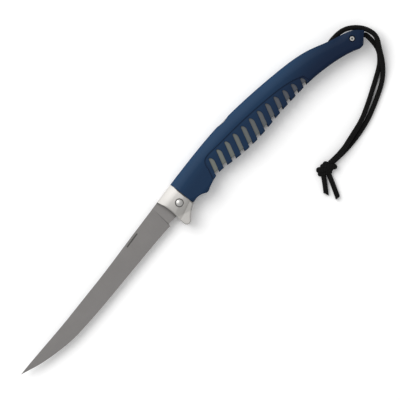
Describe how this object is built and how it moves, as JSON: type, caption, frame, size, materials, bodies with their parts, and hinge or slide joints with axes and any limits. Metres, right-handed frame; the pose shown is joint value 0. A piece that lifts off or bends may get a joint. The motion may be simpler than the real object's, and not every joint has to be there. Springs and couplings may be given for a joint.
{
  "type": "folding fillet knife",
  "caption": "Lock-back folding fillet knife with a slim blade, steel bolsters, a blue moulded handle with a ribbed rubber grip, and a black cord lanyard.",
  "frame": {"origin": "centre of the footprint of the knife without its lanyard, on the surface that it lies on", "axes": "+X from the blade's tip towards the butt, +Y towards the back of the handle, +Z out of the side with the nail nick"},
  "size_m": [0.3695, 0.103, 0.0176],
  "materials": {
    "blade_steel": "satin grey",
    "bolster_steel": "satin",
    "frame_steel": "satin",
    "polished_steel": "polished",
    "washer_bronze": "plain",
    "scale_plastic": "matt dark blue",
    "grip_rubber": "matt warm grey",
    "cord_fabric": "woven black"
  },
  "bodies": {
    "handle": {"pivot_barrel": "polished_steel", "pivot_screw": "polished_steel", "washer_top": "washer_bronze", "washer_bottom": "washer_bronze", "liner_top": "frame_steel", "liner_bottom": "frame_steel", "bolster_top": "bolster_steel", "bolster_bottom": "bolster_steel", "scale_top": "scale_plastic", "scale_bottom": "scale_plastic", "grip_insert_top": "grip_rubber", "grip_insert_bottom": "grip_rubber", "scale_screws_top": "frame_steel", "scale_screws_bottom": "frame_steel", "lock_pin": "frame_steel", "lock_spring": "frame_steel", "stop_pin": "frame_steel", "spacer_pins": "frame_steel", "backspacer": "frame_steel", "lanyard_barrel": "polished_steel", "lanyard_screw": "polished_steel", "lanyard_bight": "cord_fabric", "lanyard_strand_inner": "cord_fabric", "lanyard_strand_outer": "cord_fabric", "lanyard_knot": "cord_fabric", "lanyard_tails": "cord_fabric"},
    "blade_body": {"blade": "blade_steel"},
    "lock_rocker": {"lock_bar": "frame_steel"}
  },
  "joints": [
    {"name": "blade_fold", "type": "hinge", "parent": "handle", "child": "blade_body", "pos_m": [-0.00664, -0.00187, 0.0088], "axis": [0, 0, 1], "range_deg": [0, 174.2]},
    {"name": "lock_release", "type": "hinge", "parent": "handle", "child": "lock_rocker", "pos_m": [0.03136, 0.01266, 0.0088], "axis": [0, 0, -1], "range_deg": [0, 3.5], "stiffness_Nm_per_rad": 3, "deforming": ["lock_spring"]}
  ]
}
